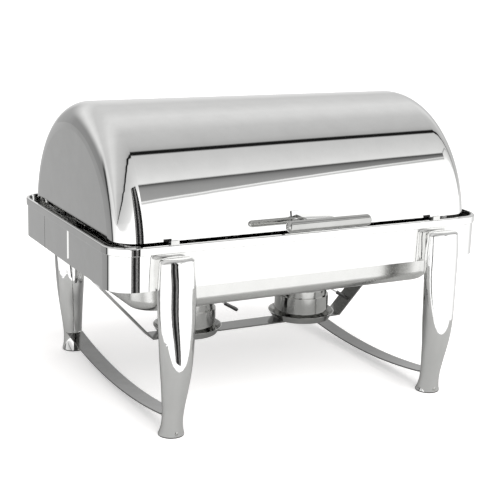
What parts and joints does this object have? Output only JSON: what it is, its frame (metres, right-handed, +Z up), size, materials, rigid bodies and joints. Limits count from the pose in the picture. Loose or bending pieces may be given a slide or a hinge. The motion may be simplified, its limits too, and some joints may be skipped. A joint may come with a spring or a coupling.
{
  "type": "chafing dish food warmer",
  "caption": "Rectangular roll-top chafing dish: polished band on tapered legs, barrel cover rolling back on end pivots, water pan, lift-out food pan and burners on a shelf below.",
  "frame": {"origin": "centre of the footprint's bounding box at floor level, under the feet", "axes": "X along the length from the left leg pair to the right, +Y from the handle side to the rear, +Z up"},
  "size_m": [0.6036, 0.4762, 0.433],
  "materials": {
    "mirror_steel": "mirror polished stainless steel",
    "brushed_steel": "bright rolled stainless steel",
    "satin_steel": "satin drawn stainless steel",
    "black_enamel": "heat-proof black phenolic",
    "fastener_steel": "turned stainless steel",
    "black_plastic": "moulded black nylon"
  },
  "bodies": {
    "stand": {"bracket_screws": "fastener_steel", "burner_saucer_left": "mirror_steel", "burner_saucer_right": "mirror_steel", "burner_strap": "brushed_steel", "cover_rest_left": "brushed_steel", "cover_rest_right": "brushed_steel", "cradle_link_left": "brushed_steel", "cradle_link_right": "brushed_steel", "end_plate_left": "mirror_steel", "end_plate_right": "mirror_steel", "foot_glides": "black_plastic", "frame_band": "mirror_steel", "frame_rim": "mirror_steel", "glide_screws": "fastener_steel", "leg_front_left": "mirror_steel", "leg_front_right": "mirror_steel", "leg_rear_left": "mirror_steel", "leg_rear_right": "mirror_steel", "leg_screws": "fastener_steel", "open_stops": "brushed_steel", "pan_cradle": "brushed_steel", "pin_nuts": "fastener_steel", "pivot_bracket_left": "brushed_steel", "pivot_bracket_right": "brushed_steel", "pivot_pin_left": "brushed_steel", "pivot_pin_right": "brushed_steel", "pivot_spacers": "brushed_steel", "rest_pad_left": "black_plastic", "rest_pad_right": "black_plastic", "saucer_rivets": "fastener_steel", "side_bow_left": "mirror_steel", "side_bow_right": "mirror_steel", "strap_screws": "fastener_steel", "water_pan": "satin_steel"},
    "food_pan": {"food_pan": "mirror_steel"},
    "cover": {"roll_cover": "mirror_steel", "pivot_ear_left": "brushed_steel", "pivot_ear_right": "brushed_steel", "ear_rivets": "fastener_steel", "pivot_bush_left": "black_plastic", "pivot_bush_right": "black_plastic", "handle_bar": "mirror_steel", "handle_cap_left": "mirror_steel", "handle_cap_right": "mirror_steel", "handle_bracket": "mirror_steel", "handle_screws": "fastener_steel"},
    "burner_left": {"burner_cup_left": "mirror_steel", "burner_neck_left": "mirror_steel", "damper_rivet_left": "mirror_steel"},
    "damper_left": {"damper_left": "mirror_steel", "lever_grip_left": "black_enamel"},
    "burner_right": {"burner_cup_right": "mirror_steel", "burner_neck_right": "mirror_steel", "damper_rivet_right": "mirror_steel"},
    "damper_right": {"damper_right": "mirror_steel", "lever_grip_right": "black_enamel"}
  },
  "joints": [
    {"name": "cover_roll", "type": "hinge", "parent": "stand", "child": "cover", "pos_m": [0, 0.006, 0.2495], "axis": [-1, 0, 0], "range_deg": [0, 90]},
    {"name": "food_pan_lift", "type": "slide", "parent": "stand", "child": "food_pan", "axis": [0, 0, 1], "range_m": [0, 0.035]},
    {"name": "burner_lift_left", "type": "slide", "parent": "stand", "child": "burner_left", "axis": [0, 0, 1], "range_m": [0, 0.026]},
    {"name": "damper_swing_left", "type": "hinge", "parent": "burner_left", "child": "damper_left", "pos_m": [-0.07109, -0.00795, 0.125], "axis": [0, 0, 1], "range_deg": [0, 50]},
    {"name": "burner_lift_right", "type": "slide", "parent": "stand", "child": "burner_right", "axis": [0, 0, 1], "range_m": [0, 0.026]},
    {"name": "damper_swing_right", "type": "hinge", "parent": "burner_right", "child": "damper_right", "pos_m": [0.12665, -0.01477, 0.125], "axis": [0, 0, 1], "range_deg": [0, 50]}
  ]
}
